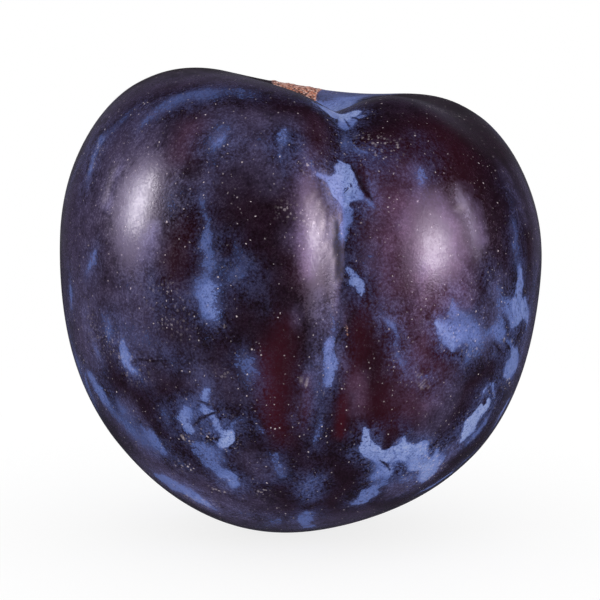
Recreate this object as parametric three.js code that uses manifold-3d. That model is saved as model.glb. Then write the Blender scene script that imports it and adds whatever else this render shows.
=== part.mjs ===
// A ripe dark plum, picked without its stalk, at rest on the small flat spot under its tip.
// Millimetres, +Z up. The origin is the middle of the flat spot, and the suture, the fold
// that runs from the stalk cavity down one side of the fruit, faces the -Y side.
// Skin, flesh and the corky scar left by the stalk grew as one, so the fruit is one solid.

import * as THREE from 'three';
import Module from 'manifold-3d';
import { mergeVertices } from 'three/addons/utils/BufferGeometryUtils.js';

// Driving dimensions of the fruit, measured from the middle of its widest level.
const HALF_WIDTH = 28.15; // across the two cheeks
const HALF_THICKNESS = 26.2; // from the suture to the back
const CROWN_RISE = 29.3; // up to where the crown would close if it had no hollow
const TIP_DROP = 32.4; // down to the tip
const CROWN_FULLNESS = 0.01; // how far the upper half swells past an ellipse
const TIP_FULLNESS = 0.05; // the same for the lower half

const FRUIT_LEAN = THREE.MathUtils.degToRad(4); // the crown leans towards +X
const LEAN_SHIFT = 1.7; // brings the flat spot of the leaning fruit over the origin
const FLAT_DEPTH = 0.36; // how much of the tip the flat spot takes away

// The wide hollow of the crown, whose rim makes the shoulders, and the narrow stalk
// cavity sunk in it: x, y and spread across the crown, and depth.
const CROWN_HOLLOW = { x: 1.2, y: 0.8, spreadX: 12.7, spreadY: 13.5, rise: -10.6 };
const STALK_CAVITY = { x: -0.8, y: 1.5, spreadX: 3.2, spreadY: 3.2, rise: -4.2 };

// Small swellings and dips of the shoulders, placed in the same way.
const SHOULDER_SWELLINGS = [
  { x: 6, y: 12, spreadX: 6, spreadY: 6, rise: -0.2 }, // the back rim sags
  { x: 16, y: 5, spreadX: 5.5, spreadY: 6, rise: 0.6 }, // the right shoulder is full behind
  { x: 18, y: -8, spreadX: 4, spreadY: 4, rise: -1 }, // and low in front
  { x: 8.5, y: -9, spreadX: 5, spreadY: 4.5, rise: 1.7 }, // but full beside the suture
];

// Gentle swellings and flats of the flanks: a direction from the middle of the fruit
// (degrees round from the -Y side towards +X, degrees up), how wide, and how far out.
const FLANK_SWELLINGS = [
  { around: 80, up: 40, spread: 25, rise: -0.8 },
  { around: -80, up: 35, spread: 25, rise: 0.2 },
  { around: 80, up: -20, spread: 28, rise: -0.5 },
  { around: -80, up: -42, spread: 28, rise: -0.9 },
  { around: 80, up: -48, spread: 18, rise: 0.2 },
  { around: -60, up: -72, spread: 22, rise: 0.9 },
  { around: 60, up: -72, spread: 16, rise: -0.5 },
];

// The suture: deep where it leaves the stalk cavity, shallow at the widest level, and gone
// near the tip. The left cheek rolls into it steeply and the right one slopes to it.
const SUTURE_TURN = 9; // degrees from the -Y side towards +X at the widest level
const SUTURE_BOW = 6; // degrees more where it nears the crown and the tip
const SUTURE_BOW_LATITUDES = [25, 65]; // degrees from the widest level between which it bows
const SUTURE_DEPTH_AT_RIM = 3.4;
const SUTURE_DEPTH_AT_EQUATOR = 2.6;
const SUTURE_LEFT = { width: 3.8, power: 1.5 };
const SUTURE_RIGHT = { width: 7.5, power: 1.2 };
const SUTURE_STARTS = -2; // distance in front of the stalk cavity where the fold begins
const SUTURE_FULL = 6; // and where it has its whole depth
const SUTURE_RIM_LATITUDES = [5, 60]; // degrees between which it deepens upwards
const SUTURE_TIP_LATITUDES = [-55, 10]; // degrees between which it fades downwards

const GRID_CELLS = 24; // cells along each side of the six-sided grid
const SUTURE_CROWDING = 0.45; // how far the grid lines draw together at the suture
const MEAN_RADIUS = 27.2; // turns a place on the unit sphere into millimetres

const UP = new THREE.Vector3(0, 0, 1);

const { smoothstep, degToRad, radToDeg } = THREE.MathUtils;

// A unit sphere laid out as six patches of square cells, as on a cube. A row of grid lines
// runs along the suture, and the lines beside it are crowded together.
function sphereOfSquares() {
  const cube = new THREE.BoxGeometry(2, 2, 2, GRID_CELLS, GRID_CELLS, GRID_CELLS);
  cube.deleteAttribute('normal');
  cube.deleteAttribute('uv');
  const sphere = mergeVertices(cube);
  const places = sphere.attributes.position;
  const place = new THREE.Vector3();
  for (let i = 0; i < places.count; i += 1) {
    place.fromBufferAttribute(places, i);
    place.x *= 1 - SUTURE_CROWDING + SUTURE_CROWDING * place.x ** 2;
    place.set(...place.toArray().map((side) => Math.tan((side * Math.PI) / 4)));
    place.normalize();
    place.applyAxisAngle(UP, sutureTurn(place));
    places.setXYZ(i, place.x, place.y, place.z);
  }
  return sphere;
}

// How far round from the -Y side the suture lies at the height of a direction.
function sutureTurn(direction) {
  const latitude = radToDeg(Math.asin(direction.z));
  const bow = SUTURE_BOW * smoothstep(Math.abs(latitude), ...SUTURE_BOW_LATITUDES);
  return degToRad(SUTURE_TURN + bow);
}

// The egg-like body that the fruit would be without its hollow, suture and swellings.
function egg(direction) {
  const height = direction.z;
  const fullness = height > 0 ? CROWN_FULLNESS : TIP_FULLNESS;
  const swell = 1 + fullness * 4 * height ** 2 * (1 - height ** 2);
  return new THREE.Vector3(
    HALF_WIDTH * direction.x * swell,
    HALF_THICKNESS * direction.y * swell,
    (height > 0 ? CROWN_RISE : TIP_DROP) * height,
  );
}

// Raises or sinks the crown around one place on it, and leaves the lower half alone.
function raiseCrown(point, direction, { x, y, spreadX, spreadY, rise }) {
  const acrossX = (point.x - x) / spreadX;
  const acrossY = (point.y - y) / spreadY;
  const onCrown = smoothstep(direction.z, -0.1, 0.45);
  point.z += rise * onCrown * Math.exp(-(acrossX ** 2 + acrossY ** 2) / 2);
}

// Moves the skin out or in along its own direction, around one place on the flanks.
function swellFlank(point, direction, { around, up, spread, rise }) {
  const turn = degToRad(around);
  const lift = degToRad(up);
  const centre = new THREE.Vector3(
    Math.cos(lift) * Math.sin(turn),
    -Math.cos(lift) * Math.cos(turn),
    Math.sin(lift),
  );
  const falloff = (direction.dot(centre) - 1) / (1 - Math.cos(degToRad(spread)));
  point.addScaledVector(direction, rise * Math.exp(falloff / 2));
}

// Presses the suture into the skin.
function foldSuture(point, direction) {
  const turn = sutureTurn(direction);
  const side = new THREE.Vector3(Math.cos(turn), Math.sin(turn), 0);
  const front = new THREE.Vector3(Math.sin(turn), -Math.cos(turn), 0);
  const across = MEAN_RADIUS * direction.dot(side);
  const forward = MEAN_RADIUS * direction.dot(front);
  const latitude = radToDeg(Math.asin(direction.z));
  const { width, power } = across < 0 ? SUTURE_LEFT : SUTURE_RIGHT;
  const section = Math.exp(-((Math.abs(across) / width) ** power));
  const deepening = smoothstep(latitude, ...SUTURE_RIM_LATITUDES);
  const fading = smoothstep(latitude, ...SUTURE_TIP_LATITUDES);
  const depth = THREE.MathUtils.lerp(SUTURE_DEPTH_AT_EQUATOR, SUTURE_DEPTH_AT_RIM, deepening);
  const start = smoothstep(forward, SUTURE_STARTS, SUTURE_FULL);
  point.addScaledVector(direction, -depth * fading * start * section);
}

// The whole skin, leaning as it stands, with its tip not yet flattened.
function fruitSkin() {
  const skin = sphereOfSquares();
  const places = skin.attributes.position;
  const direction = new THREE.Vector3();
  for (let i = 0; i < places.count; i += 1) {
    direction.fromBufferAttribute(places, i);
    const point = egg(direction);
    raiseCrown(point, direction, CROWN_HOLLOW);
    raiseCrown(point, direction, STALK_CAVITY);
    SHOULDER_SWELLINGS.forEach((swelling) => raiseCrown(point, direction, swelling));
    FLANK_SWELLINGS.forEach((swelling) => swellFlank(point, direction, swelling));
    foldSuture(point, direction);
    places.setXYZ(i, point.x, point.y, point.z);
  }
  skin.rotateY(FRUIT_LEAN);
  skin.computeBoundingBox();
  return skin.translate(LEAN_SHIFT, 0, -skin.boundingBox.min.z - FLAT_DEPTH);
}

function solidOf(wasm, geometry) {
  return new wasm.Manifold(new wasm.Mesh({
    numProp: 3,
    vertProperties: new Float32Array(geometry.attributes.position.array),
    triVerts: new Uint32Array(geometry.index.array),
  }));
}

function geometryOf(solid) {
  const mesh = solid.getMesh();
  const geometry = new THREE.BufferGeometry();
  geometry.setAttribute('position', new THREE.BufferAttribute(mesh.vertProperties, 3));
  geometry.setIndex(new THREE.BufferAttribute(mesh.triVerts, 1));
  geometry.computeVertexNormals();
  return geometry;
}

// Everything below the resting surface, which flattens the tip.
function belowTheTable() {
  const side = 4 * HALF_WIDTH;
  const block = new THREE.BoxGeometry(side, side, side).translate(0, 0, -side / 2);
  block.deleteAttribute('normal');
  block.deleteAttribute('uv');
  return mergeVertices(block);
}

const wasm = await Module();
wasm.setup();

const fruit = solidOf(wasm, fruitSkin()).subtract(solidOf(wasm, belowTheTable()));
const skinMaterial = new THREE.MeshStandardMaterial({
  color: 0x2a1a28,
  roughness: 0.4,
  metalness: 0,
});

const plum = new THREE.Mesh(geometryOf(fruit), skinMaterial);
plum.name = 'plum';

const part = new THREE.Group();
part.add(plum);

export default part;
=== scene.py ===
# A ripe dark plum, at rest on its small flat spot. Metres, +Z up, in the frame of the packed
# model: the suture faces the -Y side and the stalk cavity is on top.

import math
import random

import bmesh
import bpy
import mathutils
import numpy as np
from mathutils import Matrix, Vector


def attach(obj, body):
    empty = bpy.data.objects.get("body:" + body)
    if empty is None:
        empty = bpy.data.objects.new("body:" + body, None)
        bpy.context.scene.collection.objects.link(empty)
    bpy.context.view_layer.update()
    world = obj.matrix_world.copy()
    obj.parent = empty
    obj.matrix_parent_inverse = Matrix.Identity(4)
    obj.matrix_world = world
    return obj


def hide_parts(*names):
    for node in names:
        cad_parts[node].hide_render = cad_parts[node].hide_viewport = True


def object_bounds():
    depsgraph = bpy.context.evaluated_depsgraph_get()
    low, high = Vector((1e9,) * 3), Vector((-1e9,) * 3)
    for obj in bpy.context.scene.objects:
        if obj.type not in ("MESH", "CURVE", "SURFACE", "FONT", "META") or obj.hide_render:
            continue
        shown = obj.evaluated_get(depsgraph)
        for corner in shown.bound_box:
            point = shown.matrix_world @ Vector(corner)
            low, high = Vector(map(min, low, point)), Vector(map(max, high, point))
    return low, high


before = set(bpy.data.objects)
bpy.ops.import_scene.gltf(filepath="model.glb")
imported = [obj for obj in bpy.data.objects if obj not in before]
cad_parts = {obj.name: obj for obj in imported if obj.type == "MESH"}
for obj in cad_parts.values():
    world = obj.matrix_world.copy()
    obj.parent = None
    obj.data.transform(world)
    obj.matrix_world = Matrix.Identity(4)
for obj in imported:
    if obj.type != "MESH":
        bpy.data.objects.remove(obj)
cad_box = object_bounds()

# ---------------------------------------------------------------------------
# The plum. One fruit: skin, flesh and the corky scar left by the stalk grew together, so it
# is one closed skin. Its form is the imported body's, rounded, with the fine cracks, creases and
# scar moved in its mesh, and the wax bloom laid on as the hand that picked it left it.

MM = 0.001
MEAN_RADIUS = 27.0  # millimetres from the middle to the skin, which turns degrees into them

# The bloom. A stroke says how closely its wax covers the skin, how thick it lies and how soft
# its edge is, each from 0 to about 1, and the places it runs through: degrees round from the
# -Y side towards +X, degrees up, and half its width there in millimetres.
BLOOM = [
    # the walls of the stalk cavity, which no hand reaches
    (0.9, 0.28, 1.2, (165, 66, 3.0), (140, 67, 3.0), (115, 66, 3.0)),
    (1.0, 0.75, 0.8, (152, 77, 1.6), (130, 75, 2.2), (60, 76, 2.0), (30, 68, 1.2)),
    (1.0, 0.7, 0.6, (-100, 76, 2.0), (-20, 80, 2.0)),
    (0.5, 0.3, 0.4, (-4, 58.5, 0.3), (3, 58, 0.4)),
    # the suture where it leaves the cavity: a fan, then the strands below it
    (0.85, 0.62, 0.3, (5, 60, 0.3), (10, 59.5, 0.7), (15, 59, 0.8)),
    (
        1.0, 0.95, 0.15,
        (10, 58, 0.5), (13, 58.5, 1.0), (16.5, 59, 1.4), (20.5, 59.5, 1.5), (24.5, 59.5, 1.1),
    ),
    (0.9, 0.65, 0.3, (16, 54.5, 1.0), (20.5, 54.8, 1.0), (25, 55.5, 0.6)),
    (0.45, 0.4, 0.6, (16.5, 53, 0.6), (16.5, 50, 0.4), (16.5, 46, 0.3)),
    (0.6, 0.6, 0.05, (18.5, 48, 0.08), (21, 43, 0.1)),
    (0.5, 0.5, 0.05, (17.8, 47, 0.06), (19.5, 42.5, 0.08)),
    (0.55, 0.35, 0.6, (16.5, 49, 0.6), (15.5, 44.5, 0.6), (20, 44, 0.8), (22.5, 40.5, 0.7)),
    # the large patch on the left wall of the suture
    (
        1.0, 0.85, 0.15,
        (11.6, 41, 0.4), (12.2, 38.5, 1.1), (12.6, 36.5, 1.4), (12.8, 34.5, 1.8), (13.5, 32.7, 1.5),
    ),
    (0.95, 0.7, 0.2, (4.8, 36.3, 0.3), (7.8, 35.6, 0.6), (10.2, 34.2, 0.9), (10.8, 33, 0.5)),
    (0.95, 0.66, 0.3, (13, 31.3, 1.0), (12.2, 29, 0.6), (11.5, 26.5, 0.6), (10.8, 24, 0.5)),
    (0.6, 0.4, 0.5, (11.8, 28, 0.6), (11.2, 25, 0.7), (10.6, 22, 0.6)),
    (0.8, 0.5, 0.3, (16, 32.3, 0.4), (17.8, 30.5, 0.45), (19, 28.5, 0.4)),
    (0.8, 0.55, 0.05, (19.3, 35.7, 0.12), (19.2, 32.3, 0.12)),
    (0.6, 0.42, 0.5, (-1, 41, 0.5), (2.5, 38.7, 0.8), (5, 36.3, 0.5)),
    # beside the lower suture
    (
        1.0, 0.8, 0.2,
        (12, 16, 0.12), (12.6, 14, 0.4), (13.2, 11.5, 0.6), (13.8, 9.5, 0.4), (14.5, 7, 0.12),
    ),
    (0.65, 0.45, 0.5, (7.7, 5, 0.35), (7.6, 0, 0.6), (7.7, -3.5, 0.7)),
    (0.95, 0.65, 0.25, (7.9, -4, 0.7), (7.7, -7, 0.85), (7.5, -10, 0.9), (7, -13.5, 0.7)),
    (0.55, 0.38, 0.8, (3.5, -9, 0.8), (2.8, -13, 0.9), (4.2, -16.5, 0.7)),
    (0.8, 0.48, 0.5, (5, -21.5, 0.35), (4.8, -24, 0.5), (4.4, -27, 0.6), (4.8, -30, 0.3)),
    (0.5, 0.35, 0.5, (-2.3, -21, 0.4), (-2, -23.5, 0.4)),
    (0.6, 0.4, 1.0, (-76, -5, 1.0), (-74, -11, 1.0)),
    (0.7, 0.45, 0.6, (-75, -13, 0.8), (-75, -19, 1.0), (-73, -25, 0.8)),
    (0.6, 0.4, 0.8, (72, 8, 0.8), (72, -3, 1.0), (71, -14, 0.9)),
    (0.35, 0.3, 0.5, (2, -22.5, 0.35), (2.2, -18, 0.3)),
    # left cheek
    (0.66, 0.38, 0.6, (-50.5, 43, 0.6), (-48.5, 46.5, 1.2), (-45, 49.5, 1.2)),
    (0.42, 0.26, 0.9, (-44, 50, 1.2), (-37, 53, 1.4)),
    (0.66, 0.34, 0.9, (-38, 53.5, 1.3), (-30, 55.8, 1.6), (-20, 56.5, 1.5)),
    (0.6, 0.35, 0.5, (-57.5, 47.5, 0.5), (-61, 44, 0.9), (-65, 40, 1.0)),
    (0.72, 0.42, 0.4, (-66.5, 38, 0.9), (-66.5, 35, 1.0), (-65, 32, 0.9)),
    (0.6, 0.35, 0.5, (-64, 31.5, 0.8), (-63, 28.5, 0.6)),
    (0.5, 0.3, 0.8, (-74, 38, 0.8), (-74, 33, 1.1), (-78, 28, 0.8)),
    (0.9, 0.6, 0.4, (-23.3, 41.9, 0.35), (-23.8, 41.3, 0.4)),
    (0.66, 0.36, 1.0, (-24, 44.3, 1.2), (-22.5, 41.5, 1.0)),
    (0.5, 0.3, 0.8, (-24, 38, 0.7), (-23, 34, 0.7), (-25, 31, 0.7), (-24, 28.5, 0.6)),
    (0.9, 0.6, 0.3, (-4.3, 44.8, 0.45), (-4.5, 42.5, 0.45)),
    (0.75, 0.45, 0.2, (-4.6, 41, 0.2), (-4.4, 36.5, 0.2)),
    (0.45, 0.3, 1.0, (-15, 41, 0.7), (-10.5, 42.3, 0.7)),
    (0.6, 0.34, 1.2, (-33, 29.5, 1.0), (-31.5, 25.5, 1.1)),
    (0.75, 0.36, 0.5, (-24, 29, 0.3), (-23.5, 26.5, 0.4), (-22.7, 23.5, 0.6), (-22.3, 20, 0.6)),
    (
        0.78, 0.44, 0.7,
        (-22.5, 19, 0.8), (-22.2, 16, 1.3), (-22.9, 12.5, 1.2), (-23.7, 8, 1.3), (-22.6, 5.5, 0.7),
    ),
    (0.88, 0.74, 0.35, (-19.3, 9.8, 0.8), (-19.3, 8, 1.8), (-20.2, 5.3, 1.3)),
    (0.4, 0.33, 0.7, (-22.5, 2.5, 0.8), (-23.2, -1, 0.6)),
    (0.6, 0.36, 0.7, (-15, 20, 0.6), (-13.8, 17.5, 0.7), (-14, 14, 0.6), (-15.5, 12, 0.6)),
    (0.5, 0.32, 0.7, (-14.5, 12, 0.6), (-17, 12.7, 0.7)),
    (0.4, 0.28, 0.9, (-18, 16, 0.9), (-16, 17, 0.9)),
    (0.4, 0.33, 0.4, (-12.5, 13.8, 0.3), (-13.2, 11.6, 0.3)),
    (0.55, 0.34, 0.7, (-8, 12.5, 0.3), (-8.2, 9, 0.6), (-8.3, 6, 0.4)),
    (0.85, 0.5, 0.5, (-54.5, 15.5, 0.4), (-56.7, 12.5, 0.8), (-58.7, 9.5, 0.5)),
    (0.85, 0.55, 0.45, (-69, 8, 0.4), (-69, 4.8, 0.85), (-70, 1.5, 0.6)),
    (0.5, 0.3, 0.9, (-43, 9, 0.7), (-43, 7.5, 0.7)),
    (0.55, 0.4, 0.4, (-37, 11, 0.2), (-36.3, 7, 0.3), (-35.5, 3, 0.2)),
    (0.35, 0.3, 1.2, (-33, 9, 1.0), (-30, 5, 1.2)),
    # the hazy field low on the left cheek
    (0.65, 0.42, 0.5, (-61.3, 0, 0.3), (-59.5, -4.5, 0.4), (-58, -8, 0.6)),
    (0.6, 0.42, 0.5, (-57.5, -8, 0.5), (-57, -11, 0.4), (-57, -13.5, 0.3)),
    (0.7, 0.42, 0.7, (-53.7, 1.5, 0.5), (-52.3, -1.5, 0.9), (-51.3, -3.5, 0.6)),
    (0.5, 0.33, 1.4, (-48, -1, 1.4), (-43, -3, 1.8), (-38, -3.5, 1.5)),
    (0.98, 0.72, 0.35, (-46.6, -5.6, 0.55), (-45.8, -8.4, 0.95), (-44.9, -11, 0.6)),
    (0.6, 0.42, 0.5, (-44.3, -11.5, 0.4), (-43, -13, 0.5), (-41.5, -15, 0.4)),
    (0.5, 0.4, 0.7, (-33.3, -6.8, 0.5), (-32, -7, 0.5)),
    (0.45, 0.33, 1.0, (-29, -7.5, 0.8), (-25, -9, 0.8)),
    (0.66, 0.44, 0.7, (-13.5, -4, 0.8), (-12.8, -7, 1.4), (-12.3, -10, 1.1), (-12.8, -12.5, 0.7)),
    (0.5, 0.35, 0.6, (-9.2, -12.5, 0.45), (-8.9, -14.5, 0.45)),
    (0.95, 0.7, 0.3, (-23.3, -14, 0.6), (-23.5, -15.5, 0.7), (-24, -17.2, 0.5)),
    # low on the left
    (0.8, 0.52, 0.5, (-70, -16, 0.7), (-70.5, -19, 0.7), (-71, -22, 0.5)),
    (0.92, 0.6, 0.6, (-66, -14.8, 0.8), (-63, -17, 1.6), (-61, -20.3, 1.3)),
    (0.62, 0.4, 0.7, (-60.5, -22, 1.1), (-57, -25, 1.4), (-54, -28, 1.3)),
    (0.5, 0.36, 0.9, (-53, -23, 1.5), (-51, -27, 1.8), (-48, -31, 1.6)),
    (0.85, 0.55, 0.5, (-43.5, -27, 0.7), (-44.3, -29.6, 1.3), (-42.6, -32.4, 0.9)),
    (0.45, 0.35, 0.9, (-52, -32, 1.2), (-47, -34, 1.0)),
    (0.75, 0.44, 0.6, (-36.3, -21.5, 0.8), (-36.5, -27, 0.7)),
    (0.6, 0.42, 0.6, (-39, -35.5, 0.8), (-37.5, -38, 0.7)),
    (0.5, 0.38, 0.6, (-53, -21, 0.6), (-50, -24, 0.6)),
    (0.95, 0.7, 0.3, (-31, -20.3, 0.7), (-30.6, -22.8, 1.05), (-30.2, -25.2, 0.9)),
    (0.6, 0.45, 0.4, (-30, -19.7, 0.5), (-27, -19.3, 0.4)),
    (0.65, 0.5, 0.3, (-28, -21.5, 0.35), (-26.5, -23.3, 0.4), (-24.5, -25, 0.4)),
    (0.95, 0.75, 0.15, (-25.8, -18.6, 0.2), (-24, -19.2, 0.5), (-22.2, -19.8, 0.3)),
    (1.0, 0.95, 0.12, (-22.6, -28.2, 0.55), (-21.4, -27.3, 0.85), (-20.2, -26.4, 0.95), (-19, -26, 0.6)),
    (0.9, 0.75, 0.25, (-24, -20.5, 0.4), (-23, -22.5, 0.5), (-22, -24.8, 0.5)),
    (0.75, 0.5, 0.4, (-18.3, -24.3, 0.5), (-16.3, -22.3, 0.55), (-14.5, -20.5, 0.4)),
    (0.75, 0.5, 0.35, (-10.6, -21.5, 0.4), (-10.6, -24.2, 0.5)),
    (0.85, 0.54, 0.6, (-30, -30.3, 0.9), (-28, -32.2, 1.5), (-26.3, -35, 1.4), (-24, -38.5, 1.1)),
    (0.68, 0.46, 0.5, (-23.5, -30.5, 0.8), (-22.5, -32.5, 0.8)),
    (0.95, 0.66, 0.3, (-22.8, -39.8, 0.8), (-22.2, -42.2, 0.8)),
    (0.5, 0.4, 0.6, (-23.3, -44.5, 0.4), (-23.7, -46.5, 0.4)),
    (0.5, 0.42, 0.6, (-18.5, -42, 0.5), (-18, -43.5, 0.4)),
    (0.9, 0.58, 0.4, (-57, -44.5, 0.9), (-52, -46.5, 1.6), (-47, -47, 1.7), (-43.5, -49.5, 1.5)),
    (0.85, 0.62, 0.4, (-42.5, -50.5, 1.1), (-40, -53, 0.9), (-39.5, -55.5, 0.6)),
    (0.7, 0.5, 0.5, (-7.3, -32.3, 0.5), (-8, -35, 0.9), (-6.5, -37, 0.8)),
    (0.5, 0.35, 0.9, (-11.5, -41, 0.8), (-3, -37.5, 0.8), (-2.5, -41, 0.7)),
    (0.3, 0.3, 0.5, (4.2, -39, 0.4), (2.8, -42, 0.5), (1.4, -46, 0.3)),
    (0.8, 0.6, 0.02, (4.6, -39.8, 0.1), (2.8, -42, 0.12), (1.2, -46.5, 0.06)),
    (0.8, 0.6, 0.02, (4.6, -41.5, 0.08), (3.2, -45, 0.1), (2.6, -48, 0.06)),
    (0.5, 0.3, 0.2, (7.5, -43.5, 0.2), (4.6, -46, 0.2)),
    (0.85, 0.55, 0.5, (2.5, -55.5, 0.8), (2.3, -60, 1.1), (3.5, -66, 1.0)),
    (0.7, 0.5, 0.6, (-10.5, -59.5, 0.7), (-14, -62, 0.9), (-18, -64, 0.6)),
    (0.5, 0.38, 0.9, (-26, -56, 0.9), (-22, -57, 0.8)),
    # right cheek, upper
    (0.9, 0.52, 0.8, (32.8, 35, 0.8), (32.8, 33, 0.9)),
    (0.55, 0.3, 1.0, (27.5, 41, 0.8), (25, 38, 1.0)),
    (0.4, 0.3, 0.7, (36.8, 43.3, 0.4), (39.7, 40, 0.5), (39.5, 36.5, 0.4)),
    (0.45, 0.3, 1.0, (64, 28, 0.8), (63.5, 24, 1.3), (62.5, 20.5, 0.8)),
    (0.76, 0.42, 0.6, (61, 20, 0.5), (60, 16.5, 0.8), (60.5, 12, 0.7)),
    (0.55, 0.36, 0.9, (16.7, 18.5, 0.8), (17, 15, 0.8), (19.5, 13, 0.6)),
    # right cheek, lower
    (0.65, 0.42, 0.4, (19.3, 7.3, 0.25), (20.3, 4, 0.35), (22.3, 1, 0.4)),
    (0.6, 0.42, 0.1, (21, 5.2, 0.1), (22.5, 0.5, 0.12), (23.5, -4, 0.1)),
    (0.62, 0.45, 0.5, (22.3, 1.5, 0.5), (23, -1.7, 0.7), (23.6, -4.2, 0.5), (24.3, -6, 0.3)),
    (0.5, 0.35, 0.5, (24.8, -6, 0.4), (26.3, -8, 0.4)),
    (0.7, 0.5, 0.1, (25.6, -7, 0.12), (26.3, -8.4, 0.12), (26, -9.6, 0.1)),
    (0.75, 0.5, 0.15, (29.6, -11, 0.25), (31.7, -12.7, 0.25)),
    (0.6, 0.4, 0.15, (33, -13.3, 0.2), (35, -16.5, 0.2)),
    (0.35, 0.3, 0.6, (32, 3.7, 0.4), (32.3, 2.7, 0.3)),
    (0.66, 0.45, 0.8, (37.8, 6, 0.8), (38.5, 2.5, 1.2), (42, 1.5, 1.4), (45, 2, 1.0)),
    (0.92, 0.64, 0.5, (34, 0.5, 0.5), (36.3, -1.8, 1.1), (39.5, -4.2, 1.0)),
    (0.78, 0.52, 0.8, (40, -2, 1.3), (44.5, -2.5, 1.4)),
    (1.0, 0.85, 0.1, (33.7, 0.4, 0.2), (35.8, -2, 0.25), (38.3, -4, 0.25), (38, -6, 0.1)),
    (0.8, 0.55, 0.4, (38.7, 4.6, 0.4), (38.7, 3.2, 0.4)),
    (0.72, 0.48, 0.8, (45, -3.5, 1.4), (49, -4.2, 1.3), (49, -7, 0.8), (44, -7.5, 0.9)),
    (0.5, 0.4, 0.7, (43, -8.3, 0.6), (41.7, -11.3, 0.5), (40.7, -13.3, 0.4)),
    (0.45, 0.3, 0.9, (48.5, 9.5, 0.7), (49, 6.5, 0.7)),
    (0.5, 0.38, 0.5, (46.8, 13.5, 0.35), (46.6, 11.7, 0.3)),
    (0.95, 0.72, 0.25, (61.5, 10.3, 0.6), (61.6, 7, 1.2), (61.8, 3.5, 1.4), (63, 0.5, 1.4)),
    (0.95, 0.75, 0.3, (66, 1.5, 0.9), (67.8, -1.5, 1.0), (68.8, -3.4, 0.6)),
    (0.85, 0.62, 0.4, (57, 4, 0.6), (58.5, 1.5, 1.1), (60, -1.2, 1.0)),
    (0.78, 0.54, 0.5, (54, -3, 0.8), (56.5, -5, 0.9), (59, -6.5, 0.6)),
    (0.7, 0.5, 0.5, (52.5, 6.5, 0.8), (54.5, 2.5, 1.2), (53, -3, 1.0)),
    (0.75, 0.55, 0.3, (61, -5.6, 0.3), (61.2, -6.2, 0.3)),
    (0.75, 0.55, 0.35, (54.3, -8.5, 0.35), (55.3, -9.6, 0.3)),
    (0.95, 0.72, 0.3, (62.2, -8.3, 0.5), (64.5, -10.5, 1.4), (65, -12.5, 1.8), (64.7, -14.3, 1.6)),
    (0.9, 0.65, 0.4, (61, -11.3, 0.5), (61.5, -12.7, 0.8), (61.3, -14.3, 0.6)),
    (0.95, 0.85, 0.1, (52.5, -19.2, 0.25), (53.2, -17.8, 0.35), (54, -16.7, 0.35), (55.3, -16.3, 0.3)),
    (0.9, 0.75, 0.15, (55.5, -16.5, 0.3), (56.8, -18.3, 0.3), (58.8, -20.6, 0.25)),
    (
        1.0, 1.0, 0.1,
        (54.5, -21.3, 0.5), (55, -22.6, 1.1), (53.5, -25, 1.35), (52.7, -27.6, 1.2), (51.8, -30, 0.8),
        (51.2, -31.7, 0.4),
    ),
    (0.8, 0.58, 0.5, (60.5, -24.5, 0.5), (60, -26.5, 0.9), (58, -29, 1.0), (55.5, -31.5, 0.8)),
    (0.5, 0.4, 0.4, (48, -27, 0.35), (47.5, -30, 0.35)),
    (0.95, 0.75, 0.25, (72.5, -23, 0.5), (71.5, -26.3, 0.7), (71, -29, 0.4)),
    (0.35, 0.4, 0.6, (67, -17.5, 0.7), (65, -21.5, 0.5)),
    # the wide notched patch under the right cheek
    (1.0, 0.88, 0.12, (18.2, -26.4, 0.25), (18.5, -28, 0.65), (18.8, -30.3, 1.1), (21.3, -32, 1.0)),
    (1.0, 0.9, 0.12, (21.7, -32.3, 0.9), (24, -34, 1.0), (28.5, -33.3, 1.2), (32, -33.3, 1.6)),
    (1.0, 0.85, 0.2, (28.8, -29.2, 0.35), (30.5, -31, 0.7)),
    (0.95, 0.8, 0.2, (29.7, -30.6, 0.45), (32, -33, 1.3), (35.5, -32.8, 1.4)),
    (0.9, 0.7, 0.3, (36.3, -30.8, 0.8), (38.3, -30.3, 0.5), (38.9, -33.5, 0.8)),
    (0.9, 0.68, 0.4, (29, -35.8, 0.8), (33.5, -36, 1.2), (38, -35.5, 1.1)),
    (0.95, 0.75, 0.2, (43.5, -33, 0.4), (43.6, -36, 0.6), (43, -39, 0.65), (42.5, -42, 0.5)),
    (0.55, 0.45, 0.5, (46, -34.5, 0.5), (46, -37.5, 0.4)),
    (1.0, 0.8, 0.4, (37.5, -37.5, 0.9), (42, -38, 1.2), (45.5, -39, 1.4), (46, -42.5, 1.2)),
    (0.7, 0.5, 0.5, (34, -41.5, 0.8), (38, -42.5, 1.0)),
    (0.95, 0.75, 0.2, (24.8, -37.3, 0.5), (26.5, -38.7, 0.8), (28, -40, 0.5)),
    (0.8, 0.52, 0.4, (23.5, -40, 0.6), (26.5, -41.8, 0.9), (29, -43.5, 0.8)),
    (0.64, 0.44, 0.5, (20.5, -33, 0.8), (22.3, -36, 0.8), (23.6, -39, 0.7)),
    (0.92, 0.62, 0.35, (26.3, -45.3, 0.6), (25, -47.8, 1.3), (22.8, -50.5, 1.2)),
    (0.95, 0.7, 0.2, (64, -45.5, 0.5), (59, -49, 0.6), (54, -50.5, 0.4)),
    (0.85, 0.65, 0.2, (68.5, -39, 0.3), (64, -41, 0.35)),
    (0.5, 0.4, 0.5, (41, -49.3, 0.5), (39, -50, 0.4)),
    (0.4, 0.35, 0.5, (14, -31.5, 0.4), (14.3, -32.5, 0.3)),
    (0.4, 0.35, 0.5, (25.5, -24.5, 0.4), (25.7, -25.3, 0.3)),
]

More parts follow.
